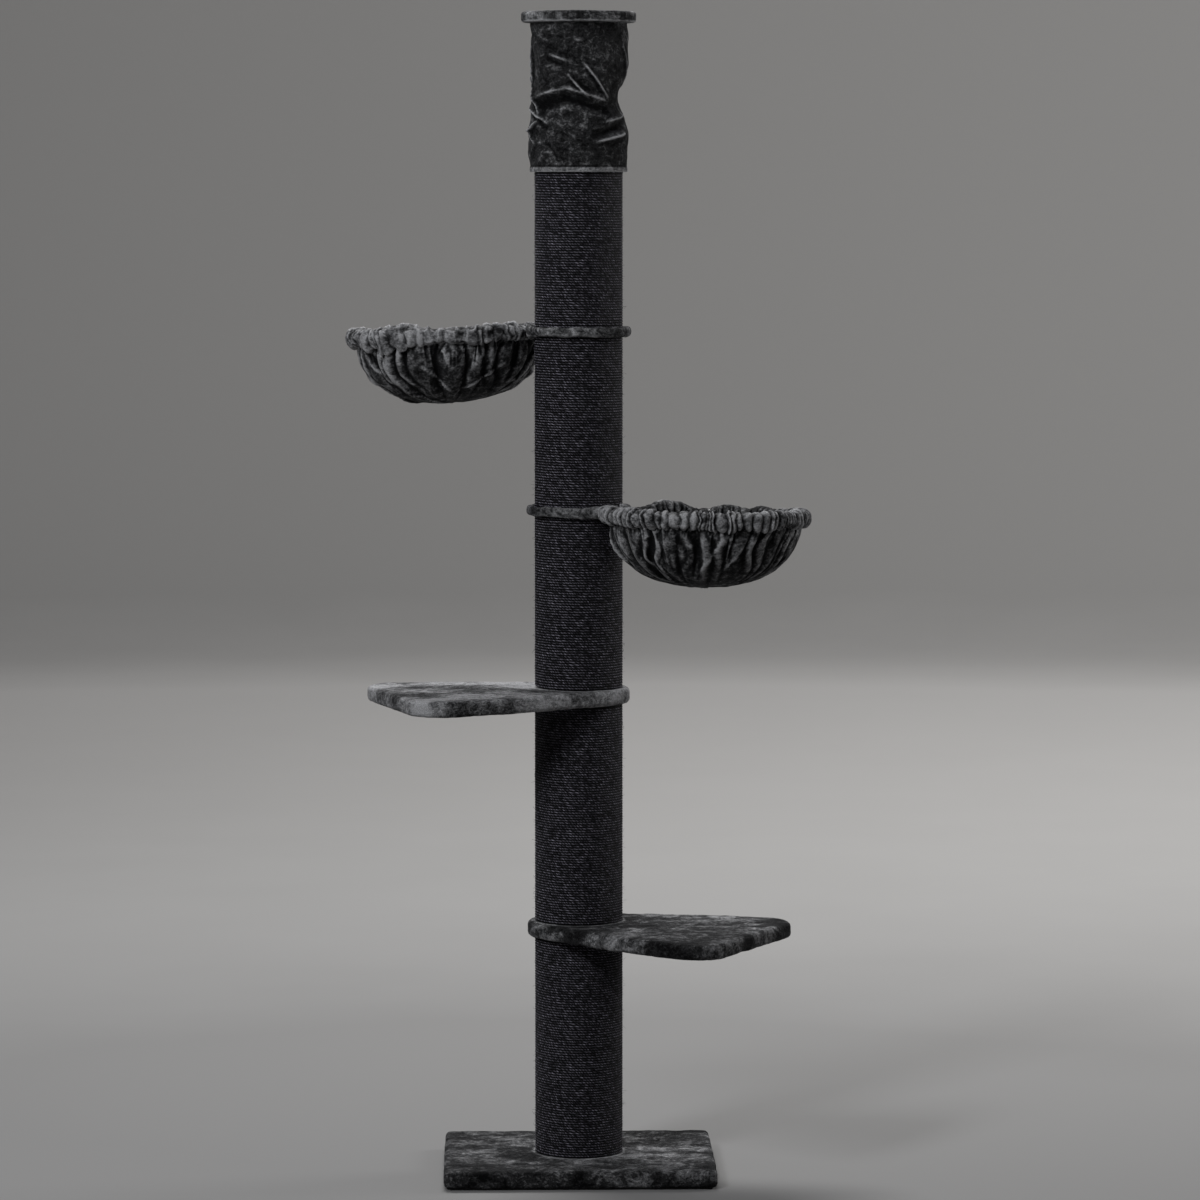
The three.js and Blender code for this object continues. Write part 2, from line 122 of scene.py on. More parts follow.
def make_cove():
    """A pale floor that turns up into a wall all round, so that no horizon shows."""
    sides, reach, turn, height = 128, 12.5, 4.5, 9.0
    profile = [(reach * share, 0.0) for share in (0.02, 0.25, 0.5, 0.75)]
    for step in range(25):
        angle = math.pi / 2 * step / 24
        profile.append((reach + turn * math.sin(angle), turn * (1 - math.cos(angle))))
    profile.append((reach + turn, height))
    angle = steps_round(sides)
    rings = [np.c_[radius * np.cos(angle), radius * np.sin(angle), np.full(sides, level)]
             for radius, level in profile]
    faces = [*grid_faces(len(profile), sides)[:, ::-1], range(sides)]
    data = mesh_of("studio_cove", np.vstack(rings), faces)
    data.shade_smooth()
    data.materials.append(MATERIALS["floor"])
    add_object("studio_cove", data)


# ---- Materials ----

class Nodes:
    """Short calls that add nodes to a tree and link them."""

    def __init__(self, tree):
        self.tree = tree

    def node(self, kind, settings=None, **inputs):
        made = self.tree.nodes.new(kind)
        for key, value in (settings or {}).items():
            setattr(made, key, value)
        for key, value in inputs.items():
            self.put(made.inputs[key.replace("_", " ")], value)
        return made

    def put(self, socket, value):
        if isinstance(value, bpy.types.NodeSocket):
            self.tree.links.new(value, socket)
        else:
            socket.default_value = value

    def math(self, operation, *values):
        made = self.node("ShaderNodeMath", {"operation": operation})
        for socket, value in zip(made.inputs, values):
            self.put(socket, value)
        return made.outputs["Value"]


class Shader(Nodes):
    """A node material under construction."""

    def __init__(self, name):
        self.material = bpy.data.materials.new(name)
        self.material.use_nodes = True
        super().__init__(self.material.node_tree)
        self.surface = self.tree.nodes["Principled BSDF"]

    def place(self, scale=(1, 1, 1), vector=None):
        """A vector, or the place on the object, stretched by a scale."""
        if vector is None:
            vector = self.node("ShaderNodeTexCoord").outputs["Object"]
        return self.node("ShaderNodeMapping", Vector=vector, Scale=scale).outputs["Vector"]

    def attribute(self, name):
        return self.node("ShaderNodeAttribute", {"attribute_name": name}).outputs

    def noise(self, place, scale, detail=2.0, roughness=0.5, distortion=0.0):
        return self.node("ShaderNodeTexNoise", Vector=place, Scale=scale, Detail=detail,
                         Roughness=roughness, Distortion=distortion).outputs["Fac"]

    def ramp(self, value, *stops):
        made = self.node("ShaderNodeValToRGB", Fac=value)
        elements = made.color_ramp.elements
        while len(elements) < len(stops):
            elements.new(0.5)
        for element, (position, color) in zip(elements, stops):
            element.position = position
            element.color = (*color, 1) if hasattr(color, "__len__") else (color, color, color, 1)
        return made.outputs["Color"]

    def mix(self, factor, first, second, blend="MIX"):
        made = self.node("ShaderNodeMix", {"data_type": "RGBA", "blend_type": blend})
        self.put(made.inputs[0], factor)
        self.put(made.inputs[6], first)
        self.put(made.inputs[7], second)
        return made.outputs[2]

    def bump(self, height, distance, strength=1.0, normal=None):
        made = self.node("ShaderNodeBump", Height=height, Distance=distance, Strength=strength)
        if normal is not None:
            self.put(made.inputs["Normal"], normal)
        return made.outputs["Normal"]

    def finish(self, **inputs):
        for key, value in inputs.items():
            self.put(self.surface.inputs[key.replace("_", " ")], value)
        return self.material


def plush_material():
    """Short-pile plush: near-black, and lighter where the pile lies over; the per-point value it reads
    also holds painted light, a painted highlight on ridges and edges and painted shade in tucks.
    """
    shader = Shader("charcoal_plush")
    place = shader.place()
    patches = shader.noise(place, 24, detail=5, roughness=0.66, distortion=1.1)
    streaks = shader.noise(shader.place((1, 1, 1.6)), 85, detail=4, roughness=0.66, distortion=0.8)
    tufts = shader.noise(place, 620, detail=2, roughness=0.7)
    flecks = shader.noise(place, 210, detail=3, roughness=0.6)
    pile = shader.math("MULTIPLY_ADD", patches, 0.48, shader.math("MULTIPLY", streaks, 0.34))
    pile = shader.math("MULTIPLY_ADD", flecks, 0.18, pile)
    # Per-point lightness: the lie of the pile, plus painted highlight on ridges and edges and painted
    # shade in tucks and on a rim's far side.
    pile_and_painted_light = shader.attribute("pile_and_painted_light")["Fac"]
    lean = shader.math("MULTIPLY_ADD", shader.math("SUBTRACT", pile, 0.5), 1.75, pile_and_painted_light)
    lighter = shader.ramp(lean, (0.28, 0.0), (0.46, 0.07), (0.60, 0.36), (0.78, 1.0))
    color = shader.mix(lighter, (0.0030, 0.0030, 0.0033, 1), (0.44, 0.44, 0.45, 1))
    grain = shader.ramp(tufts, (0.30, 0.35), (0.70, 1.0))
    color = shader.mix(1.0, color, grain, "MULTIPLY")
    swept = shader.bump(pile, 0.014, 0.75)
    normal = shader.bump(tufts, 0.0016, 0.9, swept)
    return shader.finish(Base_Color=color, Roughness=0.9, Specular_IOR_Level=0.08,
                         Sheen_Weight=0.07, Sheen_Roughness=0.30,
                         Sheen_Tint=(0.50, 0.50, 0.53, 1), Normal=normal)


def sisal_material():
    """Black sisal rope. 'winding' holds metres along it and turns of its strands; 'rope_side' is 0 at
    the outermost line of the rope and 1 in the groove between turns."""
    shader = Shader("black_sisal")
    winding = shader.attribute("winding")["Vector"]
    fibres = shader.noise(shader.place((110, 26, 1), winding), 1.0, detail=3, roughness=0.65,
                          distortion=0.8)
    patches = shader.noise(shader.place(), 30, detail=3, roughness=0.6)
    # Fibre tone of the black rope, with pale bluish values that are painted glints on the fibres.
    fibres_and_painted_glints = shader.ramp(fibres, (0.40, (0.010, 0.010, 0.012)), (0.62, (0.62, 0.59, 0.70)))
    uneven = shader.noise(shader.place((45, 2, 1), winding), 1.0, detail=2, roughness=0.6)
    fibres_and_painted_glints = shader.mix(1.0, fibres_and_painted_glints, shader.ramp(uneven, (0.40, 0.12), (0.64, 1.0)), "MULTIPLY")
    faded = shader.mix(shader.ramp(patches, (0.45, 0.0), (0.8, 0.25)), fibres_and_painted_glints, (0.07, 0.067, 0.08, 1))
    lay = shader.node("ShaderNodeSeparateXYZ", Vector=winding).outputs["Y"]
    strand = shader.math("ABSOLUTE", shader.math("COSINE", shader.math("MULTIPLY", lay, 3 * math.pi)))
    side = shader.attribute("rope_side")["Fac"]
    # Painted light: a painted highlight along the outermost line of each turn, and painted shade
    # towards the groove between turns.
    crest = shader.ramp(side, (0.06, 1.0), (0.40, 0.012))
    # Painted shade in the valleys between the strands.
    color = shader.mix(1.0, faded, shader.ramp(strand, (0.30, 0.16), (0.92, 1.0)), "MULTIPLY")
    color = shader.mix(1.0, color, crest, "MULTIPLY")
    normal = shader.bump(fibres, 0.0008, 1.0, shader.bump(strand, 0.0022, 1.0))
    return shader.finish(Base_Color=color, Roughness=0.55, Specular_IOR_Level=0.14, Normal=normal)


def grained_material(name, noise, dark, light, roughness, relief, stretch=(1, 1, 1)):
    """A plain grained surface. noise: scale, detail, roughness; dark, light: stops of the ramp;
    relief: distance and strength of the bump."""
    shader = Shader(name)
    grain = shader.noise(shader.place(stretch), *noise)
    return shader.finish(Base_Color=shader.ramp(grain, dark, light), Roughness=roughness,
                         Normal=shader.bump(grain, *relief))


def board_material(name="particle_board", shade=1.0):
    shader = Shader(name)
    place = shader.place()
    chips = shader.node("ShaderNodeTexVoronoi", Vector=place, Scale=420.0).outputs["Color"]
    tone = shader.node("ShaderNodeSeparateColor", Color=chips).outputs["Red"]
    dark, middle, pale = [tuple(shade * value for value in color) for color in
                          ((0.34, 0.23, 0.13), (0.50, 0.37, 0.22), (0.66, 0.52, 0.34))]
    color = shader.ramp(tone, (0.0, dark), (0.5, middle), (1.0, pale))
    return shader.finish(Base_Color=color, Roughness=0.85, Normal=shader.bump(tone, 0.0004, 0.6))


def zinc_material():
    shader = Shader("zinc_plate")
    spangle = shader.noise(shader.place((1, 1, 6)), 160, detail=3)
    roughness = shader.node("ShaderNodeMapRange", Value=spangle, To_Min=0.28, To_Max=0.5)
    color = shader.ramp(spangle, (0.3, (0.50, 0.51, 0.53)), (0.7, (0.66, 0.67, 0.68)))
    return shader.finish(Base_Color=color, Metallic=1.0, Roughness=roughness.outputs["Result"],
                         Normal=shader.bump(spangle, 0.0001, 0.3))


def floor_material():
    """Matt painted studio floor, palest between the object and the wall; the darkening round the object
    and at the wall is painted shade.
    """
    shader = Shader("pale_floor")
    cloud = shader.noise(shader.place(), 1.6, detail=2)
    reach = shader.node("ShaderNodeVectorMath", {"operation": "LENGTH"}, Vector=shader.place())
    # Painted shade: the colour follows distance from the object, as a falloff of light.
    far = shader.math("DIVIDE", reach.outputs["Value"], 14.0)
    tone = shader.math("MULTIPLY_ADD", cloud, 0.03, far)
    color = shader.ramp(tone, (0.16, (0.170, 0.168, 0.166)), (0.80, (0.54, 0.535, 0.53)),
                        (1.0, (0.34, 0.337, 0.334)))
    return shader.finish(Base_Color=color, Roughness=0.9)


MATERIALS = {
    "floor": floor_material(),
    "plush": plush_material(),
    "sisal": sisal_material(),
    "board": board_material(),
    # The tubes' cardboard is near-black, far darker than plain cardboard.
    "cardboard": grained_material("dyed_cardboard", (300, 4), (0.3, 0.006), (0.7, 0.014), 0.9,
                                  (0.0003, 0.5), (1, 1, 0.3)),
    "felt": grained_material("needle_felt", (700, 4, 0.7), (0.3, 0.02), (0.7, 0.07), 1.0,
                             (0.0008, 0.8)),
    "zinc_steel": zinc_material(),
    "black_steel": grained_material("black_powder_coat", (650, 2), (0.3, 0.012), (0.7, 0.02), 0.45,
                                    (0.0002, 0.35)),
    "stained_cap": board_material("stained_cap", 0.05),
    "seam": grained_material("seam_welt", (900, 2, 0.6), (0.35, 0.05), (0.65, 0.20), 0.9,
                             (0.0004, 0.7)),
}


def dress_cad_nodes():
    """Gives each CAD node the material of its slot in the record."""
    for part in frame["record"]["subparts"]:
        node = frame["nodes"][part["node"]]
        for slot in node.material_slots:
            slot.material = MATERIALS[part["material_slot"]]
            # Caps get the board's colour at 0.05 of its brightness.
            if "_cap_" in part["node"]:
                slot.material = MATERIALS["stained_cap"]


# ---- Meshes ----

def bumps(points, size, seed=0):
    """Smooth values from -1 to 1 at the points, which rise and fall over about that size."""
    scaled = np.reshape(points, (-1, 3)).astype(float) / size
    cell = np.floor(scaled).astype(np.int64)
    share = scaled - cell
    share = share * share * (3 - 2 * share)
    total = np.zeros(len(scaled))
    for corner in itertools.product((0, 1), repeat=3):
        x, y, z = (cell + corner).T
        mixed = (x * 73856093) ^ (y * 19349663) ^ (z * 83492791) ^ ((seed + 1) * 912931)
        mixed = (mixed ^ (mixed >> 13)) * 1274126177 & 0xFFFFFFFF
        value = ((mixed ^ (mixed >> 16)) & 0xFFFF) / 32767.5 - 1
        total += value * np.prod(np.where(corner, share, 1 - share), axis=1)
    return total.reshape(np.shape(points)[:-1])


def degrees_from(angle, middle):
    """How many degrees an angle in radians lies from a direction, from -180 to 180."""
    return (np.degrees(angle) - middle + 180) % 360 - 180


def steps_round(count):
    """Angles in radians, evenly round a circle."""
    return np.arange(count) * 2 * np.pi / count


def distances_along(path):
    """Distance along a path at each of its points."""
    return np.concatenate([[0], np.cumsum(np.linalg.norm(np.diff(path, axis=0), axis=1))])


def grid_faces(rows, columns, closed_rows=False):
    """Four-sided faces of a grid of points, numbered row by row and closed round each row."""
    row = np.arange(rows if closed_rows else rows - 1)
    r, c = np.meshgrid(row, np.arange(columns), indexing="ij")
    next_r, next_c = (r + 1) % rows, (c + 1) % columns
    corners = (r * columns + c, r * columns + next_c, next_r * columns + next_c, next_r * columns + c)
    return np.stack(corners, axis=-1).reshape(-1, 4)


def mesh_of(name, points, faces):
    data = bpy.data.meshes.new(name)
    data.from_pydata([tuple(p) for p in points], [], [tuple(int(i) for i in f) for f in faces])
    return data


def make_piece(name, points, faces, slot, body, replaced, material=None):
    """A smooth-shaded piece that rides on a body and stands for CAD nodes."""
    data = mesh_of(name, points, faces)
    data.validate()
    data.shade_smooth()
    piece = add_object(name, data)
    data.materials.append(material or MATERIALS[slot])
    if body:
        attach(piece, body)
    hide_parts(*replaced)
    return piece


def vectors(items, key):
    """One vector of each item of a mesh, as rows."""
    values = np.empty(len(items) * 3, np.float32)
    items.foreach_get(key, values)
    return values.reshape(-1, 3).astype(float)


def node_points(name):
    """The corners of a CAD node, each once."""
    return np.unique(np.round(vectors(frame["nodes"][name].data.vertices, "co"), 6), axis=0)


# ---- Sisal winding ----

class NodeTree(Nodes):
    """A Geometry Nodes tree under construction, with named inputs."""

    def __init__(self, name, inputs):
        super().__init__(bpy.data.node_groups.new(name, "GeometryNodeTree"))
        self.tree.is_modifier = True
        self.tree.interface.new_socket("Geometry", in_out="OUTPUT", socket_type="NodeSocketGeometry")
        for label, kind in inputs.items():
            self.tree.interface.new_socket(label, in_out="INPUT", socket_type="NodeSocket" + kind)
        self.inputs = self.tree.nodes.new("NodeGroupInput").outputs

    def vector(self, x, y, z):
        return self.node("ShaderNodeCombineXYZ", X=x, Y=y, Z=z).outputs["Vector"]

    def scaled(self, vector, factor):
        made = self.node("ShaderNodeVectorMath", {"operation": "SCALE"}, Scale=factor)
        self.put(made.inputs[0], vector)
        return made.outputs["Vector"]

    def kept(self, geometry, value):
        """The geometry, and the value as it is there, for use after the geometry has changed."""
        made = self.node("GeometryNodeCaptureAttribute", Geometry=geometry)
        made.capture_items.new("FLOAT", "kept")
        self.put(made.inputs["kept"], value)
        return made.outputs["Geometry"], made.outputs["kept"]

    def geometry(self, kind, settings=None, **inputs):
        return self.node("GeometryNode" + kind, settings, **inputs).outputs["Geometry"]

    def moved(self, geometry, offset):
        return self.geometry("SetPosition", Geometry=geometry, Offset=offset)

    def finish(self, geometry):
        realized = self.geometry("RealizeInstances", Geometry=geometry)
        painted = self.geometry("SetMaterial", Geometry=realized, Material=self.inputs["Material"])
        output = self.tree.nodes.new("NodeGroupOutput")
        self.put(output.inputs["Geometry"], painted)
        return self.tree


def winding_tree():
    """A rope of three strands wound round a post, with short stray fibres standing off it."""
    tree = NodeTree("sisal_winding", {
        "Radius": "Float", "Bottom": "Float", "Height": "Float", "Turns": "Float", "Columns": "Int",
        "Rope Radius": "Float", "Strand Lay": "Float", "Strand Depth": "Float", "Unevenness": "Float",
        "Fibres": "Float", "Fibre Length": "Float", "Fibres From": "Float", "Fibres To": "Float",
        "Seed": "Int", "Material": "Material"})
    given = tree.inputs
    spiral = tree.node("GeometryNodeCurveSpiral", Resolution=given["Columns"], Rotations=given["Turns"],
                       Start_Radius=given["Radius"], End_Radius=given["Radius"], Height=given["Height"])
    route = tree.moved(spiral.outputs["Curve"], tree.vector(0.0, 0.0, given["Bottom"]))
    route = tree.node("GeometryNodeSetCurveNormal", {"mode": "Z_UP"}, Curve=route).outputs["Curve"]
    parameter = tree.node("GeometryNodeSplineParameter").outputs
    route, length = tree.kept(route, parameter["Length"])

    arc = tree.node("GeometryNodeCurveArc", {"mode": "RADIUS"}, Resolution=ROPE_PROFILE_POINTS,
                    Radius=given["Rope Radius"], Start_Angle=math.radians(80),
                    Sweep_Angle=math.radians(200))
    arc = tree.geometry("SetSplineCyclic", Geometry=arc.outputs["Curve"], Cyclic=True)
    profile, around = tree.kept(arc, parameter["Factor"])

    rope = tree.node("GeometryNodeCurveToMesh", Curve=route, Profile_Curve=profile, Fill_Caps=True)
    drift = tree.node("ShaderNodeTexNoise", {"noise_dimensions": "1D"}, W=length, Scale=13.0,
                      Detail=1.0)
    lay = tree.math("SUBTRACT", tree.math("MULTIPLY", around, 0.87),
                    tree.math("DIVIDE", length, given["Strand Lay"]))
    lay = tree.math("ADD", lay, tree.math("MULTIPLY", drift.outputs["Fac"], 1.6))
    ridge = tree.math("ABSOLUTE", tree.math("COSINE", tree.math("MULTIPLY", lay, 3 * math.pi)))
    depth = tree.math("MULTIPLY", tree.math("SUBTRACT", ridge, 0.75), given["Strand Depth"])
    normal = tree.node("GeometryNodeInputNormal").outputs["Normal"]
    rope = tree.moved(rope.outputs["Mesh"], tree.scaled(normal, depth))
    place = tree.node("GeometryNodeInputPosition").outputs["Position"]
    uneven = tree.node("ShaderNodeTexNoise", Vector=place, Scale=26.0, Detail=2.0).outputs["Color"]
    centred = tree.node("ShaderNodeVectorMath", {"operation": "SUBTRACT"})
    tree.put(centred.inputs[0], uneven)
    centred.inputs[1].default_value = (0.5, 0.5, 0.5)
    rope = tree.moved(rope, tree.scaled(centred.outputs["Vector"], given["Unevenness"]))
    rope = tree.geometry("StoreNamedAttribute", {"data_type": "FLOAT2", "domain": "CORNER"},
                         Geometry=rope, Name="winding", Value=tree.vector(length, lay, 0.0))
    side = tree.math("ABSOLUTE", tree.math("SUBTRACT", tree.math("DIVIDE", around, 0.32), 1.0))
    rope = tree.geometry("StoreNamedAttribute", {"data_type": "FLOAT", "domain": "POINT"},
                         Geometry=rope, Name="rope_side", Value=side)
    rope = tree.geometry("SetShadeSmooth", Geometry=rope)

    outside = tree.math("LESS_THAN", tree.math("ABSOLUTE", tree.math("SUBTRACT", around, 0.32)), 0.22)
    level = tree.node("ShaderNodeSeparateXYZ", Vector=place).outputs["Z"]
    above = tree.math("GREATER_THAN", level, given["Fibres From"])
    below = tree.math("LESS_THAN", level, given["Fibres To"])
    free = tree.math("MULTIPLY", outside, tree.math("MULTIPLY", above, below))
    scatter = tree.node("GeometryNodeDistributePointsOnFaces", Mesh=rope, Selection=free,
                        Density=given["Fibres"], Seed=given["Seed"])
    bent = tree.node("GeometryNodeCurvePrimitiveBezierSegment", Resolution=3, Start=(0, 0, 0),
                     Start_Handle=(0, 0, 0.4), End_Handle=(0.3, 0.1, 0.8), End=(0.8, 0.2, 0.9))
    section = tree.node("GeometryNodeCurvePrimitiveCircle", Resolution=3, Radius=0.035)
    fibre = tree.node("GeometryNodeCurveToMesh", Curve=bent.outputs["Curve"],
                      Profile_Curve=section.outputs["Curve"], Fill_Caps=True)
    turn = tree.node("FunctionNodeRandomValue", {"data_type": "FLOAT_VECTOR"}, Seed=given["Seed"])
    turn.inputs[0].default_value = (-1.1, -1.1, 0.0)
    turn.inputs[1].default_value = (1.1, 1.1, 6.28)
    stood = tree.node("FunctionNodeRotateRotation", {"rotation_space": "LOCAL"},
                      Rotation=scatter.outputs["Rotation"], Rotate_By=turn.outputs["Value"])
    lengths = tree.node("FunctionNodeRandomValue", {"data_type": "FLOAT"}, Seed=given["Seed"])
    tree.put(lengths.inputs[2], tree.math("MULTIPLY", given["Fibre Length"], 0.3))
    tree.put(lengths.inputs[3], given["Fibre Length"])
    fibres = tree.node("GeometryNodeInstanceOnPoints", Points=scatter.outputs["Points"],
                       Instance=fibre.outputs["Mesh"], Rotation=stood.outputs["Rotation"],
                       Scale=lengths.outputs[1])
    both = tree.node("GeometryNodeJoinGeometry")
    tree.put(both.inputs["Geometry"], fibres.outputs["Instances"])
    tree.put(both.inputs["Geometry"], rope)
    return tree.finish(both.outputs["Geometry"])


def plain_mesh(name, tree, values):
    """The tree's result as an object of its own, with the modifier gone."""
    carrier = add_object(name + "_carrier", bpy.data.meshes.new(name + "_carrier"))
    modifier = carrier.modifiers.new("tree", "NODES")
    modifier.node_group = tree
    for item in tree.interface.items_tree:
        if item.in_out == "INPUT" and item.name in values:
            modifier[item.identifier] = values[item.name]
    evaluated = carrier.evaluated_get(bpy.context.evaluated_depsgraph_get())
    data = bpy.data.meshes.new_from_object(evaluated)
    bpy.data.objects.remove(carrier)
    data.name = name
    return add_object(name, data)


def add_windings():
    tree = winding_tree()
    for section in range(1, SECTIONS + 1):
        node = f"sisal_wrap_{section}"
        low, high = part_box(node)
        length = high[2] - low[2]
        rope = ROPE_PITCH / 2
        half_turns = round((length - ROPE_PITCH) / ROPE_PITCH / 2)
        height = (length - 2 * rope) / 2
        for half, part in enumerate(("lower", "upper")):
            piece = plain_mesh(f"sisal_winding_{section}_{part}", tree, {
                "Radius": high[0] - rope - 0.0003, "Bottom": low[2] + rope + half * height,
                "Height": height, "Turns": float(half_turns), "Columns": ROPE_COLUMNS,
                "Rope Radius": rope, "Strand Lay": STRAND_LAY, "Strand Depth": STRAND_DEPTH,
                "Unevenness": 0.0011, "Fibres": 2400.0, "Fibre Length": 0.0085,
                "Fibres From": low[2] + FIBRE_FREE_END, "Fibres To": high[2] - FIBRE_FREE_END,
                "Seed": 10 * section + half, "Material": MATERIALS["sisal"]})
            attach(piece, "column")
            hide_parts(node)


# ---- Boards under stretched plush ----

def outline_of(node, spacing):
    """Even points round a CAD node as seen from above, anticlockwise, with its flats eased."""
    flat = node_points(node)[:, :2]
    hull = flat[convex_hull_2d([Vector(point) for point in flat])]
    closed = np.vstack([hull, hull[:1]])
    along = distances_along(closed)
    count = round(along[-1] / spacing)
    at = np.arange(count) * along[-1] / count
    ring = np.stack([np.interp(at, along, closed[:, axis]) for axis in (0, 1)], axis=1)
    for _ in range(4):
        ring = (np.roll(ring, 1, axis=0) + 2 * ring + np.roll(ring, -1, axis=0)) / 4
    following = np.roll(ring, -1, axis=0)
    area = np.sum(ring[:, 0] * following[:, 1] - following[:, 0] * ring[:, 1])
    return ring if area > 0 else ring[::-1]


def outward(ring):
    """Unit vectors in the plane that point out of a ring of points."""
    tangent = np.roll(ring, -1, axis=0) - np.roll(ring, 1, axis=0)
    tangent /= np.linalg.norm(tangent, axis=1, keepdims=True)
    return np.stack([tangent[:, 1], -tangent[:, 0]], axis=1)


def board_shell(outline, low, high, edge, inset, spacing):
    """Rings of a flat board's skin: up from the middle below, round the edge, to the middle above."""
    middle = outline.mean(axis=0)
    side = outline - outward(outline) * inset
    inner = outline - outward(outline) * (inset + edge)
    steps = max(2, round(np.linalg.norm(inner - middle, axis=1).mean() / spacing))
    turns = max(3, round(edge * 1.5 / min(spacing, edge)) + 1)
    uprights = max(2, round((high - low - 2 * edge) / spacing))
    shares = np.linspace(1 / steps, 1, steps)[:-1]
    bends = np.linspace(0, np.pi / 2, turns)

    def turned(angle):
        return inner + (side - inner) * math.sin(angle)

    layers = [(middle + (inner - middle) * share, low) for share in shares]
    layers += [(turned(angle), low + edge * (1 - math.cos(angle))) for angle in bends]
    layers += [(side, level) for level in np.linspace(low + edge, high - edge, uprights + 1)[1:-1]]
    layers += [(turned(angle), high - edge * (1 - math.cos(angle))) for angle in bends[::-1]]
    layers += [(middle + (inner - middle) * share, high) for share in shares[::-1]]
    rings = [np.c_[ring, np.full(len(ring), level)] for ring, level in layers]
    bottom, top = (*middle, low), (*middle, high)
    return np.array(rings), bottom, top


def closed_form(rings, bottom, top):
    """Points and faces of rings stacked from a bottom pole to a top pole."""
    rows, columns = rings.shape[:2]
    points = np.vstack([rings.reshape(-1, 3), [bottom], [top]])
    faces = [*grid_faces(rows, columns)]
    column = np.arange(columns)
    following = (column + 1) % columns
    last = (rows - 1) * columns
    faces += [(n, c, rows * columns) for c, n in zip(column, following)]
    faces += [(last + c, last + n, rows * columns + 1) for c, n in zip(column, following)]
    return points, faces


def point_normals(points, faces):
    """Outward unit vectors at the points of a mesh."""
    data = mesh_of("normals", points, faces)
    normals = vectors(data.vertex_normals, "vector")
    bpy.data.meshes.remove(data)
    return normals


def add_cover(node, body, edge, plush, seed, liveliness, level, under_post=True,
              edge_sheen=0.0):
    """A plush cover pulled round a board, with an uneven outer skin and an inner one on the board."""
    low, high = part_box(node)
    outline = outline_of(node, COVER_SPACING)
    points, faces = closed_form(
        *board_shell(outline, low[2] + SKIN, high[2] - SKIN, edge, SKIN, COVER_SPACING))
    normals = point_normals(points, faces)
    uneven = 0.55 * bumps(points, 0.034, seed) + 0.3 * bumps(points, 0.013, seed + 1)
    uneven += 0.15 * bumps(points, 0.0065, seed + 2)
    points = points + normals * (uneven * liveliness)[:, None]
    points[:, 2] = np.clip(points[:, 2], low[2] + 0.0001, high[2] + 0.0008)
    lining = outline_of(node, 0.02)
    inside, inner_faces = closed_form(
        *board_shell(lining, low[2] + plush, high[2] - plush, 0.003, plush, 0.05))
    inner_faces = [tuple(len(points) + i for i in reversed(face)) for face in inner_faces]
    piece = make_piece(node + "_plush", np.vstack([points, inside]), faces + inner_faces,
                       "plush", body, [node])
    # Painted sheen: a lighter band along the bottom edge of the cover.
    painted_edge_sheen = edge_sheen * np.exp(-((points[:, 2] - low[2] - 0.002) / 0.0022) ** 2)
    strokes = 0.17 * bumps(points * (0.7, 1, 1.3), 0.085, seed + 3)
    strokes += 0.11 * bumps(points * (0.6, 1.2, 1), 0.034, seed + 4)
    from_post = np.hypot(points[:, 0], points[:, 1]) - POST_RADIUS
    against_post = 0.30 * np.exp(-((from_post - 0.003) / 0.0035) ** 2) * under_post
    against_post *= points[:, 2] > high[2] - 0.004
    pile_and_painted_light = level + strokes + 0.06 * uneven + painted_edge_sheen + against_post
    keep_pile_and_painted_light(piece, np.append(pile_and_painted_light, np.full(len(inside), 0.5)))
    return piece


def add_covers():
    add_cover("base_cover", "column", 0.010, 0.0058, 1, 0.0016, 0.50)
    for number, name in enumerate(SHELVES):
        add_cover(name + "_shelf_cover", name + "_shelf", 0.010, 0.0058, 11 + 10 * number, 0.0017,
                  (0.48, 0.63)[number])
    add_cover("ceiling_cover", "ceiling_clamp", 0.006, 0.0028, 41, 0.0012, 0.52,
              under_post=False, edge_sheen=0.35)


# ---- Cloth ----

def settle_cloth(piece, cut, sewn, frames, tension, bending, gravity, pressure):
    """Lets cloth that was cut to one shape and is sewn in at some points settle from where it is."""
    scene = bpy.context.scene
    piece.shape_key_add(name="start")
    pattern = piece.shape_key_add(name="cut")
    pattern.data.foreach_set("co", np.asarray(cut, np.float32).ravel())
    group = piece.vertex_groups.new(name="sewn")
    group.add([int(i) for i in sewn], 1.0, "REPLACE")
    modifier = piece.modifiers.new("cloth", "CLOTH")
    cloth = modifier.settings
    cloth.vertex_group_mass = "sewn"
    cloth.rest_shape_key = pattern
    cloth.quality = 5
    cloth.mass = 0.25
    for kind, stiffness, damping in (("tension", tension, 8), ("compression", tension, 8),
                                     ("shear", tension * 0.4, 8), ("bending", bending, 0.8)):
        setattr(cloth, kind + "_stiffness", stiffness)
        setattr(cloth, kind + "_damping", damping)
    cloth.air_damping = 4
    cloth.effector_weights.gravity = gravity
    cloth.use_pressure = True
    cloth.uniform_pressure_force = pressure
    modifier.point_cache.frame_start = 1
    modifier.point_cache.frame_end = frames
    for frame_number in range(1, frames + 1):
        scene.frame_set(frame_number)
    evaluated = piece.evaluated_get(bpy.context.evaluated_depsgraph_get())
    settled = mesh_points(evaluated)
    piece.modifiers.remove(modifier)
    piece.shape_key_clear()
    piece.vertex_groups.clear()
    set_points(piece, settled)
    scene.frame_set(1)
    return mesh_points(piece)


def mesh_points(piece):
    return vectors(piece.data.vertices, "co")


def set_points(piece, points):
    piece.data.vertices.foreach_set("co", points.astype(np.float32).ravel())


def mesh_normals(piece):
    piece.data.update()
    return vectors(piece.data.vertex_normals, "vector")


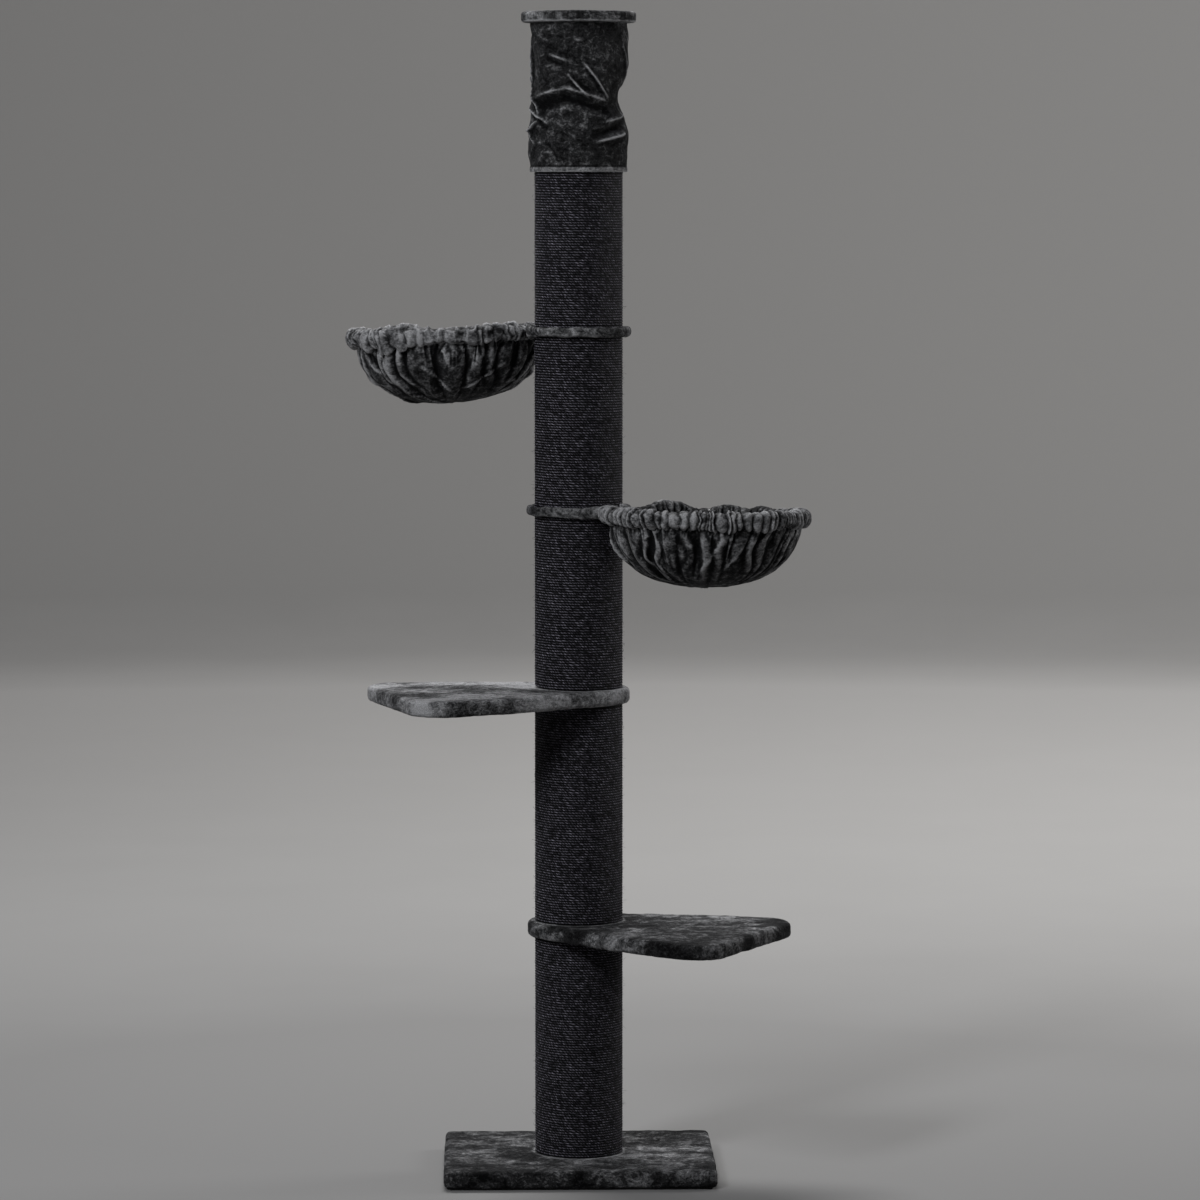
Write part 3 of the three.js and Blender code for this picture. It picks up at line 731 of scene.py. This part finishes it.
def pile_with_fold_light(piece, level, height=0.003, passes=6):
    """Stores the pile's level with painted light from the folds: more on a ridge than the level as a
    painted highlight, less in a tuck as painted shade.
    """
    data = piece.data
    ends = np.empty(len(data.edges) * 2, np.int32)
    data.edges.foreach_get("vertices", ends)
    first, second = ends.reshape(-1, 2).T
    points, normals = mesh_points(piece), mesh_normals(piece)
    total = len(points)
    touching = np.bincount(first, minlength=total) + np.bincount(second, minlength=total)
    even = points.copy()
    for _ in range(passes):
        even = np.stack([np.bincount(first, even[second, axis], total)
                         + np.bincount(second, even[first, axis], total) for axis in range(3)], axis=1)
        even /= np.maximum(touching, 1)[:, None]
    standing = np.sum((points - even) * normals, axis=1)
    keep_pile_and_painted_light(piece, level + np.clip(standing / height / 2, -0.5, 0.5))


def keep_pile_and_painted_light(piece, values):
    attribute = piece.data.attributes.new("pile_and_painted_light", "FLOAT", "POINT")
    attribute.data.foreach_set("value", np.asarray(values, np.float32))


def thicken(piece, thickness):
    """Gives an open sheet its thickness, behind its face, and closes its edges."""
    modifier = piece.modifiers.new("thickness", "SOLIDIFY")
    modifier.thickness = thickness
    modifier.offset = -1
    evaluated = piece.evaluated_get(bpy.context.evaluated_depsgraph_get())
    thick = bpy.data.meshes.new_from_object(evaluated)
    piece.modifiers.remove(modifier)
    piece.data = thick
    thick.shade_smooth()


def fold_relief(angle, share, radius, height, start, end, width, crest, tuck):
    """How far a fold lifts the cloth: a sharp crest along a line, and a tuck below it."""
    across, up = np.radians(degrees_from(angle, start[0])) * radius, (share - start[1]) * height
    run = math.radians(end[0] - start[0]) * radius
    climb = (end[1] - start[1]) * height
    length = math.hypot(run, climb)
    along = np.clip((across * run + up * climb) / length ** 2, 0, 1)
    gap_x, gap_y = across - along * run, up - along * climb
    away = np.hypot(gap_x, gap_y)
    below = np.hypot(gap_x, gap_y + math.copysign(2.1 * width, tuck))
    taper = np.clip(np.sin(np.pi * (0.12 + 0.76 * along)), 0, 1)
    ridge = np.exp(-(away / width) ** 1.3)
    return taper * crest * (ridge - abs(tuck) * np.exp(-(below / width / 1.3) ** 2))


# ---- Hammocks ----

class Hoop:
    """Where a hammock's steel ring lies: its middle, its radius and its own directions."""

    def __init__(self, side):
        points = node_points(side + "_ring")
        self.middle = points.mean(axis=0)
        _, _, axes = np.linalg.svd(points - self.middle, full_matrices=False)
        self.up = axes[2] if axes[2][2] > 0 else -axes[2]
        away = np.array([self.middle[0], self.middle[1], 0.0])
        self.away = away - self.up * away.dot(self.up)
        self.away /= np.linalg.norm(self.away)
        self.across = np.cross(self.up, self.away)
        flat = points - self.middle
        radii = np.linalg.norm(flat - np.outer(flat @ self.up, self.up), axis=1)
        self.radius = (radii.min() + radii.max()) / 2
        sling = node_points(side + "_sling") - self.middle
        height = sling @ self.up
        self.depth = -height.min()
        self.rim = np.linalg.norm(sling - np.outer(height, self.up), axis=1).max() - self.radius

    def place(self, angle, radius, height):
        """Points at an angle from the direction away from the post, a radius and a height."""
        radius, angle, height = np.broadcast_arrays(radius, angle, height)
        return (self.middle + (radius * np.cos(angle))[..., None] * self.away
                + (radius * np.sin(angle))[..., None] * self.across + height[..., None] * self.up)


class Gathers:
    """Uneven gathers round a hoop, each a rounded lobe between two tucks."""

    def __init__(self, width, length, seed, unevenness):
        random = np.random.default_rng(seed)
        count = round(length / width)
        widths = 1 + unevenness * random.uniform(-1, 1, count)
        self.edges = np.concatenate([[0], np.cumsum(widths)]) / widths.sum()
        self.fullness = 1 + 0.45 * unevenness * random.uniform(-1, 1, count)

    def at(self, angle):
        """Height of the gathers from 0 in a tuck to about 1 on a lobe."""
        turn = (np.asarray(angle) / (2 * np.pi)) % 1
        lobe = np.clip(np.searchsorted(self.edges, turn, side="right") - 1, 0, len(self.fullness) - 1)
        share = (turn - self.edges[lobe]) / (self.edges[lobe + 1] - self.edges[lobe])
        return np.sin(np.pi * np.clip(share, 0, 1)) ** 0.62 * self.fullness[lobe]


# Each hammock's look. Angles are degrees round the hoop from the direction away from the post.
# gather, fold: width of a gather on the rim and of a fold below it; unevenness: how much they differ.
# bulges: where the rim stands up, as (angle, half-width, height); drops: the same, hanging below it.
# creases: folds of the sling as for the sleeve, with the share of the way from the rim to the bottom.
# shade: angle round the hoop of the rim's far side, which is given painted shade.
HAMMOCK_LOOKS = {
    "right": {
        "seed": 3, "gather": 0.0150, "fold": 0.034, "unevenness": 0.72, "slack": 0.004,
        "lean": 0.034, "pressure": 0.5, "tuck": 0.40, "crumple": 0.0022, "shade": 126,
        "bulges": ((125, 62, -0.013), (88, 8, 0.009), (110, 9, 0.012), (146, 14, 0.018)),
        "drops": ((320, 9, 0.005), (338, 8, 0.007)),
        "creases": (
            ((271, 0.04), (250, 0.80), 0.0085, -0.012, 0.3),
            ((288, 0.04), (283, 0.60), 0.0060, -0.009, 0.3),
            ((301, 0.04), (294, 0.50), 0.0065, -0.009, 0.3),
            ((278, 0.05), (262, 0.70), 0.0070, 0.006, 0.3),
            ((219, 0.03), (226, 0.36), 0.0055, 0.010, 0.8),
            ((236, 0.05), (243, 0.30), 0.0060, 0.006, -0.9),
            ((318, 0.05), (296, 0.52), 0.0050, 0.006, 0.8),
            ((332, 0.05), (318, 0.45), 0.0050, 0.006, 0.8),
            ((60, 0.05), (75, 0.60), 0.0070, -0.009, 0.3),
            ((110, 0.05), (96, 0.55), 0.0060, 0.007, 0.6),
            ((160, 0.05), (150, 0.50), 0.0060, -0.008, 0.3)),
        "seams": (251, 100)},
    "left": {
        "seed": 8, "gather": 0.024, "fold": 0.052, "unevenness": 0.62, "slack": 0.009,
        "lean": 0.060, "pressure": 0.4, "tuck": 0.26, "crumple": 0.0050, "shade": 301,
        "bulges": ((315, 50, -0.010), (95, 14, 0.004)),
        "drops": ((84, 16, 0.017), (62, 7, 0.006), (20, 12, 0.009)),
        "creases": (
            ((51, 0.04), (47, 0.46), 0.0040, 0.009, 0.9),
            ((47, 0.46), (38, 0.74), 0.0035, 0.008, 0.9),
            ((74, 0.05), (79, 0.55), 0.0045, 0.010, 1.0),
            ((79, 0.55), (112, 0.82), 0.0035, 0.008, 1.0),
            ((57, 0.10), (70, 0.38), 0.0045, 0.007, 1.0),
            ((103, 0.22), (126, 0.56), 0.0028, 0.006, 0.7),
            ((126, 0.56), (160, 0.22), 0.0028, 0.006, 0.7),
            ((118, 0.05), (122, 0.26), 0.0060, 0.006, 0.8),
            ((30, 0.20), (52, 0.60), 0.0035, 0.006, 0.8),
            ((200, 0.10), (236, 0.60), 0.0050, 0.008, 0.8),
            ((262, 0.08), (250, 0.66), 0.0050, 0.008, 0.8),
            ((300, 0.10), (322, 0.55), 0.0045, 0.007, 0.8)),
        "seams": (75, 240)},
}


def add_rim(side, hoop, look):
    """The gathered casing round the steel ring."""
    columns, around = 840, 30
    angle = steps_round(columns)[:, None] + np.zeros(around)
    turn = steps_round(around) + np.zeros((columns, 1))
    where = hoop.place(angle, hoop.radius + hoop.rim * np.cos(turn), hoop.rim * np.sin(turn))
    seed = look["seed"]
    gathers = Gathers(look["gather"], 2 * np.pi * hoop.radius, seed, look["unevenness"])
    lean = look["lean"] * bumps(where, 0.05, seed) + 0.018 * bumps(where, 0.016, seed + 1)
    lobes = gathers.at(angle + lean)
    puff = bumps(where, 0.045, seed + 2)
    small = bumps(where, 0.009, seed + 3)
    crumple = 1 - 2 * np.abs(bumps(where, 0.022, seed + 7)) ** 0.8
    thick = hoop.rim * (0.97 - look["tuck"] * (1 - lobes)) + look["slack"] * 0.5 * puff
    thick += 0.0008 * small + look["crumple"] * (crumple - 0.5)
    radius = hoop.radius + thick * np.cos(turn)
    height = thick * np.sin(turn) * (1.0 + 0.05 * puff)
    for middle, width, rise in look["bulges"]:
        near = np.exp(-np.abs(degrees_from(angle, middle) / width) ** 2.6)
        swell = near * (0.5 + 0.5 * np.sin(turn))
        height += rise * swell * (1 + 0.25 * puff)
        height -= 0.22 * hoop.rim * (lobes - 0.6) * swell
        radius -= 0.4 * rise * swell
    hang = np.clip(-np.sin(turn), 0, 1) * look["slack"]
    height -= hang * (0.5 + 0.5 * bumps(where, 0.06, seed + 4))
    for middle, width, fall in look["drops"]:
        near = np.exp(-np.abs(degrees_from(angle, middle) / width) ** 2.4)
        under = np.clip(0.25 - np.sin(turn + 0.5), 0, 1) * (0.7 + 0.3 * lobes + 0.35 * puff)
        height -= fall * near * under
    points = hoop.place(angle, radius, height).reshape(-1, 3)
    faces = grid_faces(columns, around, closed_rows=True)[:, ::-1]
    piece = make_piece(side + "_hammock_rim", points, faces, "plush", side + "_hammock",
                       [side + "_sling"])
    # Painted shade: the far side of the rim, which faces into the shadowed bowl, is made darker.
    shaded = np.exp(-(degrees_from(angle, look["shade"]) / 62) ** 4)
    pile_with_fold_light(piece, 0.47 - 0.16 * shaded.ravel(), 0.0085, passes=14)


def add_sling(side, hoop, look):
    """The bowl of a hammock: a round cut, gathered into the hoop and settled under its own weight."""
    columns, rows = 300, 46
    held = hoop.radius - 0.15 * hoop.rim
    drop = 0.45 * hoop.rim
    fall = hoop.depth - drop
    fine = np.linspace(0, np.pi / 2, 2001)
    profile = np.stack([held * np.cos(fine) ** 0.84, -drop - 0.94 * fall * np.sin(fine) ** 0.96],
                       axis=1)
    along = distances_along(profile)
    cut_radius = along[-1] * 1.02
    share = np.linspace(0, 1 - 0.4 / rows, rows)
    bowl = np.stack([np.interp(share * along[-1], along, profile[:, k]) for k in (0, 1)], axis=1)

    angle = steps_round(columns) + np.zeros((rows, 1))
    down = share[:, None] + 0 * angle
    radius, height = bowl[:, :1] + 0 * angle, bowl[:, 1:] + 0 * angle
    excess = np.sqrt(np.clip(cut_radius * (1 - down) / np.maximum(radius, 1e-4) - 1, 0, None))
    folds = Gathers(look["fold"], 2 * np.pi * held, look["seed"] + 50, look["unevenness"])
    wander = bumps(hoop.place(angle, radius, height), 0.08, look["seed"] + 5)
    wave = folds.at(angle + (0.10 + 0.32 * down) * wander) - 0.6
    start = hoop.place(angle, radius + wave * excess * look["fold"] * 0.50
                       + 0.004 * wander * np.sin(np.pi * down), height)
    cut = hoop.place(angle, cut_radius * (1 - down), 0.0)
    points = np.vstack([start.reshape(-1, 3), hoop.place(0.0, 0.0, -hoop.depth)[None]])
    cut = np.vstack([cut.reshape(-1, 3), hoop.middle[None]])
    faces = [*grid_faces(rows, columns)[:, ::-1]]
    last, column = (rows - 1) * columns, np.arange(columns)
    faces += [(rows * columns, last + (c + 1) % columns, last + c) for c in column]
    piece = make_piece(side + "_hammock_sling", points, faces, "plush", side + "_hammock",
                       [side + "_sling"])
    points = settle_cloth(piece, cut, column, 18, tension=26, bending=0.3,
                          gravity=0.25, pressure=look["pressure"])
    points = even_out(points, hoop, rows, columns, bowl)
    set_points(piece, points)
    normals = mesh_normals(piece)
    fade = np.append(np.repeat(np.clip(share * 8, 0, 1), columns), 1)
    points += normals * (fade * (0.0009 * bumps(points, 0.014, look["seed"] + 6)))[:, None]
    relief = sum(fold_relief(angle, down, 0.75 * held, along[-1], *crease)
                 for crease in look["creases"])
    points[:-1] += normals[:-1] * (fade[:-1] * relief.ravel())[:, None]
    set_points(piece, points)
    grid = points[:-1].reshape(rows, columns, 3)
    facing = mesh_normals(piece)[:-1].reshape(rows, columns, 3)
    thicken(piece, 0.003)
    # Painted highlight on the sling's fold ridges, painted shade in its tucks.
    pile_with_fold_light(piece, 0.40, 0.0050)
    for number, degrees in enumerate(look["seams"]):
        middle = round(degrees / 360 * columns) % columns
        add_seam(f"{side}_hammock_seam_{number + 1}", grid[:, middle] + 0.0004 * facing[:, middle],
                 0.0012, side + "_hammock", [side + "_sling"])


def even_out(points, hoop, rows, columns, bowl):
    """Keeps the folds of a settled sling, and lets it hang no deeper and no narrower than its bowl."""
    offset = points - hoop.middle
    away, across, height = offset @ hoop.away, offset @ hoop.across, offset @ hoop.up
    radius, angle = np.hypot(away, across), np.arctan2(across, away)
    rings = (rows, columns)
    mean_radius = radius[:-1].reshape(rings).mean(axis=1)
    mean_height = height[:-1].reshape(rings).mean(axis=1)
    radius[:-1] += np.repeat(bowl[:, 0] - mean_radius, columns)
    height[:-1] += np.repeat(bowl[:, 1] - mean_height, columns)
    radius[-1], height[-1] = 0.0, height[-1 - columns:-1].mean() - 0.0002
    return hoop.place(angle, np.maximum(radius, 0), height)


def add_seam(name, path, radius, body, replaced):
    """A sewn seam, which stands off the cloth as a fine welt."""
    around = 6
    points = []
    for number, point in enumerate(path):
        tangent = Vector(path[min(number + 1, len(path) - 1)] - path[max(number - 1, 0)]).normalized()
        side = tangent.orthogonal().normalized()
        up = tangent.cross(side)
        for step in range(around):
            angle = 2 * math.pi * step / around
            points.append(Vector(point) + (side * math.cos(angle) + up * math.sin(angle)) * radius)
    rows = len(path)
    faces = [*grid_faces(rows, around), range(around)[::-1], range((rows - 1) * around, rows * around)]
    return make_piece(name, points, faces, "plush", body, replaced, MATERIALS["seam"])


def add_collar(side, hoop, look):
    """The plush roll round the post, which widens where it runs into the rim."""
    low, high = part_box(side + "_collar")
    tall = (high[2] - low[2]) / 2
    radii = np.linalg.norm(node_points(side + "_collar")[:, :2], axis=1)
    thick = (radii.max() - radii.min()) / 2 - 0.0012
    route = radii.min() + thick + 0.0008
    heading = math.atan2(hoop.away[1], hoop.away[0])
    columns, around = 420, 26
    start = math.radians(5)
    angle = np.linspace(start, 2 * np.pi - start, columns)[:, None] + np.zeros(around)
    turn = steps_round(around) + np.zeros((columns, 1))
    near = np.minimum(angle, 2 * np.pi - angle)
    flare = np.clip(1 - (near - start) / math.radians(58), 0, 1) ** 1.3
    seed = look["seed"] + 20
    twist = np.stack([angle * route / 0.030 + turn * 0.35, np.cos(turn) * 0.8, np.sin(turn) * 0.8],
                     axis=-1)
    folds = 1 - np.abs(bumps(twist, 1.0, seed))
    straight = np.stack([angle * route, thick * np.cos(turn), tall * np.sin(turn)], axis=-1)
    small = bumps(straight, 0.010, seed + 1)
    puff = 0.80 + 0.20 * folds ** 2 + 0.05 * small
    ends = np.clip(np.minimum(angle - start, 2 * np.pi - start - angle) / math.radians(2.2), 0, 1)
    puff *= np.sqrt(1 - (1 - ends) ** 2) * 0.98 + 0.02
    outer = np.where(np.cos(turn) > 0, 1 + 0.35 * flare, 1.0)
    radius = route + thick * puff * outer * np.cos(turn)
    height = (low[2] + high[2]) / 2 + tall * puff * (0.94 + 0.60 * flare) * np.sin(turn)
    height += 0.0015 * bumps(np.stack([angle * 1.3, 0 * angle, 0 * angle], axis=-1), 0.3, seed + 2)
    radius = np.maximum(radius, radii.min() + 0.0004)
    heading = heading + angle
    points = np.stack([radius * np.cos(heading), radius * np.sin(heading), height], axis=-1)
    faces = [*grid_faces(columns, around)[:, ::-1], range(around),
             range((columns - 1) * around, columns * around)[::-1]]
    piece = make_piece(side + "_hammock_collar", points.reshape(-1, 3), faces, "plush",
                       side + "_hammock", [side + "_collar"])
    # Painted highlight on the collar's ridges, painted shade in its tucks.
    pile_with_fold_light(piece, 0.47, 0.007)


def add_hammocks():
    for side in SIDES:
        hoop, look = Hoop(side), HAMMOCK_LOOKS[side]
        add_sling(side, hoop, look)
        add_rim(side, hoop, look)
        add_collar(side, hoop, look)


# ---- Sleeve under the ceiling plate ----

# Folds of the sleeve: where each starts and ends, as (angle round the post, share of the height),
# the half-width and height of its crest, and how deep the tuck under it is beside that.
SLEEVE_FOLDS = (
    ((-155, 0.50), (-104, 0.56), 0.011, 0.012, 1.3),
    ((-106, 0.56), (-56, 0.47), 0.010, 0.015, 1.5),
    ((-62, 0.33), (-8, 0.39), 0.007, 0.007, 1.0),
    ((-70, 0.20), (-26, 0.26), 0.007, 0.014, -1.3),
    ((-102, 0.64), (-76, 0.47), 0.0035, 0.009, 0.4),
    ((-84, 0.72), (-54, 0.50), 0.0030, 0.008, 0.4),
    ((-175, 0.90), (-168, 0.58), 0.0045, 0.010, 0.5),
    ((-169, 0.58), (-146, 0.37), 0.0050, 0.011, 0.9),
    ((-176, 0.44), (-134, 0.33), 0.0055, 0.010, 1.0),
    ((-178, 0.24), (-150, 0.36), 0.0040, 0.008, 0.5),
    ((-178, 0.33), (-156, 0.19), 0.0045, 0.008, 0.5),
    ((-128, 0.79), (-104, 0.74), 0.0060, 0.007, 0.9),
    ((-28, 0.90), (-12, 0.58), 0.0050, 0.007, 0.5),
)

# Where the slack sleeve is drawn in or stands out: angle, share of the height, half-widths of
# both, push.
SLEEVE_BULGES = (
    (2, 0.50, 40, 0.13, -0.018),
    (-14, 0.23, 44, 0.10, 0.007),
    (178, 0.60, 30, 0.20, -0.005),
    (-95, 0.42, 40, 0.07, -0.006),
    (92, 0.46, 46, 0.12, -0.010),
    (120, 0.24, 50, 0.10, 0.005),
)


def add_sleeve():
    """A loose tube of plush, sewn to the ceiling plate and hemmed over the top of the post."""
    node = "ceiling_sleeve"
    low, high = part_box(node)
    radii = np.linalg.norm(node_points(node)[:, :2], axis=1)
    middle = (radii.min() + radii.max()) / 2
    height = high[2] - low[2]
    hem = 0.012
    columns, rows = 330, 150
    angle = steps_round(columns) + np.zeros((rows, 1))
    share = np.linspace(0, 1, rows)[:, None] + 0 * angle
    level = low[2] + height * share
    place = np.stack([middle * np.cos(angle), middle * np.sin(angle), level], axis=-1)
    loose = np.clip(np.minimum(share * height - hem, (1 - share) * height) / 0.035, 0, 1)
    loose = loose * loose * (3 - 2 * loose)
    sag = 0.0055 * bumps(place, 0.090, 71) + 0.0028 * bumps(place, 0.036, 72)
    creases = np.abs(bumps(place * (1, 1, 0.7), 0.075, 73))
    sag += 0.0030 * np.exp(-(creases / 0.20) ** 1.2) * (0.5 + 0.5 * bumps(place, 0.06, 74))
    sag -= 0.0015
    for around, rise, width, tall, push in SLEEVE_BULGES:
        off = degrees_from(angle, around)
        sag += push * np.exp(-(off / width) ** 2 - ((share - rise) / tall) ** 2)
    for fold in SLEEVE_FOLDS:
        sag += fold_relief(angle, share, middle, height, *fold)
    random = np.random.default_rng(17)
    for _ in range(18):
        turn, rise = random.uniform(5, 165), random.uniform(0.15, 0.85)
        run, climb = random.uniform(12, 40), random.uniform(-0.25, 0.25)
        sag += fold_relief(angle, share, middle, height, (turn, rise), (turn + run, rise + climb),
                           random.uniform(0.0035, 0.009), random.uniform(0.004, 0.009), 0.7)
    fine = 0.0005 * bumps(place, 0.008, 75)
    from_hem = (share * height - hem) / 0.0016
    sewn = np.where(from_hem < 0, 0.0012 - 0.0008 * np.exp(-share * height / 0.002), 0.0)
    sewn -= 0.0014 * np.exp(-from_hem ** 2)
    radius = middle + 0.0016 + loose * sag + fine + sewn
    above_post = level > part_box("sisal_wrap_5")[1][2] + 0.004
    radius = np.where(above_post, radius, np.maximum(radius, radii.min() + 0.0024))
    points = np.stack([radius * np.cos(angle), radius * np.sin(angle), level], axis=-1)
    piece = make_piece("ceiling_sleeve_plush", points.reshape(-1, 3), grid_faces(rows, columns),
                       "plush", "", [node])
    thicken(piece, 0.0022)
    on_hem = np.clip((low[2] + hem - mesh_points(piece)[:, 2]) / 0.002, 0, 1)
    # Painted highlight on the sleeve's fold ridges, painted shade in its tucks; lighter on the hem.
    pile_with_fold_light(piece, 0.40 + 0.16 * on_hem, 0.0032)
    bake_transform(piece)


# ---- Making the object ----

make_camera()
make_studio()
dress_cad_nodes()
add_covers()
add_windings()
add_hammocks()
add_sleeve()
